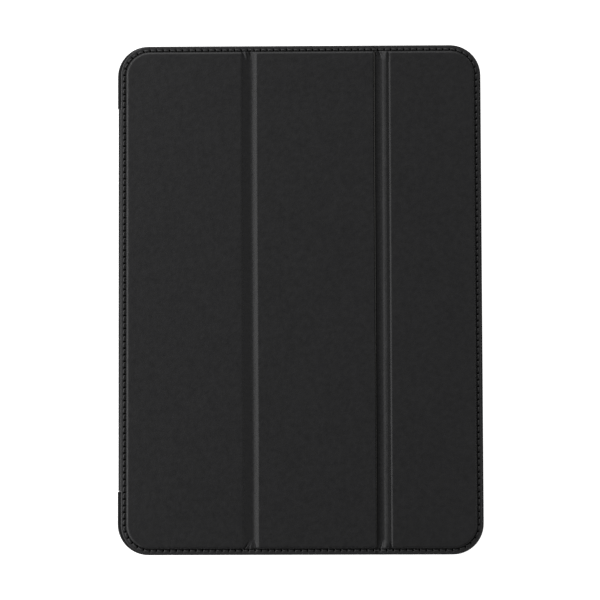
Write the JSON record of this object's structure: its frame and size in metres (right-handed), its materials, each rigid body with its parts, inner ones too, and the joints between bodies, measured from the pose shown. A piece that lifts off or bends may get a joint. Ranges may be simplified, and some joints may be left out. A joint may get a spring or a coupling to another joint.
{
  "type": "tablet case",
  "caption": "Slim black folio case for a tablet: a hinged three-panel cover with a stitched border, a soft-edged tray, and a camera window.",
  "frame": {"origin": "centre of the case's outline, on its back face", "axes": "+X from the spine to the cover's free edge, +Y to the top edge, +Z out of the closed cover"},
  "size_m": [0.1816, 0.2536, 0.0112],
  "materials": {
    "skin": "smooth matte synthetic leather",
    "soft_bumper": "soft satin, moulded",
    "hard_plastic": "fine matte texture",
    "microfibre": "short brushed nap",
    "board": "plain fibreboard, hidden inside the skin",
    "thread": "waxed twisted thread",
    "magnet": "plated"
  },
  "bodies": {
    "tray": {"back_plate": "hard_plastic", "bumper_frame": "soft_bumper", "bay_lining": "microfibre", "camera_surround": "hard_plastic", "rear_skin": "skin"},
    "spine": {"spine_skin": "skin", "spine_board": "board", "spine_lining": "microfibre"},
    "panel_1": {"panel_1_skin": "skin", "panel_1_board": "board", "panel_1_lining": "microfibre", "panel_1_stitching": "thread", "stand_magnets": "magnet"},
    "panel_2": {"panel_2_skin": "skin", "panel_2_board": "board", "panel_2_lining": "microfibre", "panel_2_stitching": "thread"},
    "panel_3": {"panel_3_skin": "skin", "panel_3_board": "board", "panel_3_lining": "microfibre", "panel_3_stitching": "thread", "closure_magnets": "magnet", "wake_magnet": "magnet"},
    "power_button": {"power_button": "soft_bumper"},
    "volume_up_button": {"volume_up_button": "soft_bumper"},
    "volume_down_button": {"volume_down_button": "soft_bumper"}
  },
  "joints": [
    {"name": "spine_hinge", "type": "hinge", "parent": "tray", "child": "spine", "pos_m": [-0.0906, 0, -0.0005], "axis": [0, -1, 0], "range_deg": [0, 270]},
    {"name": "cover_hinge", "type": "hinge", "parent": "spine", "child": "panel_1", "pos_m": [-0.0904, 0, 0.01085], "axis": [0, -1, 0], "range_deg": [0, 90]},
    {"name": "fold_1", "type": "hinge", "parent": "panel_1", "child": "panel_2", "pos_m": [-0.0249, 0, 0.01145], "axis": [0, 1, 0], "range_deg": [-150, 0]},
    {"name": "fold_2", "type": "hinge", "parent": "panel_2", "child": "panel_3", "pos_m": [0.0414, 0, 0.01145], "axis": [0, 1, 0], "range_deg": [-175, 0]},
    {"name": "power_button_press", "type": "slide", "parent": "tray", "child": "power_button", "axis": [0, -1, 0], "range_m": [0, 0.0004], "stiffness_N_per_m": 2500},
    {"name": "volume_up_button_press", "type": "slide", "parent": "tray", "child": "volume_up_button", "axis": [-1, 0, 0], "range_m": [0, 0.0004], "stiffness_N_per_m": 2500},
    {"name": "volume_down_button_press", "type": "slide", "parent": "tray", "child": "volume_down_button", "axis": [-1, 0, 0], "range_m": [0, 0.0004], "stiffness_N_per_m": 2500}
  ]
}
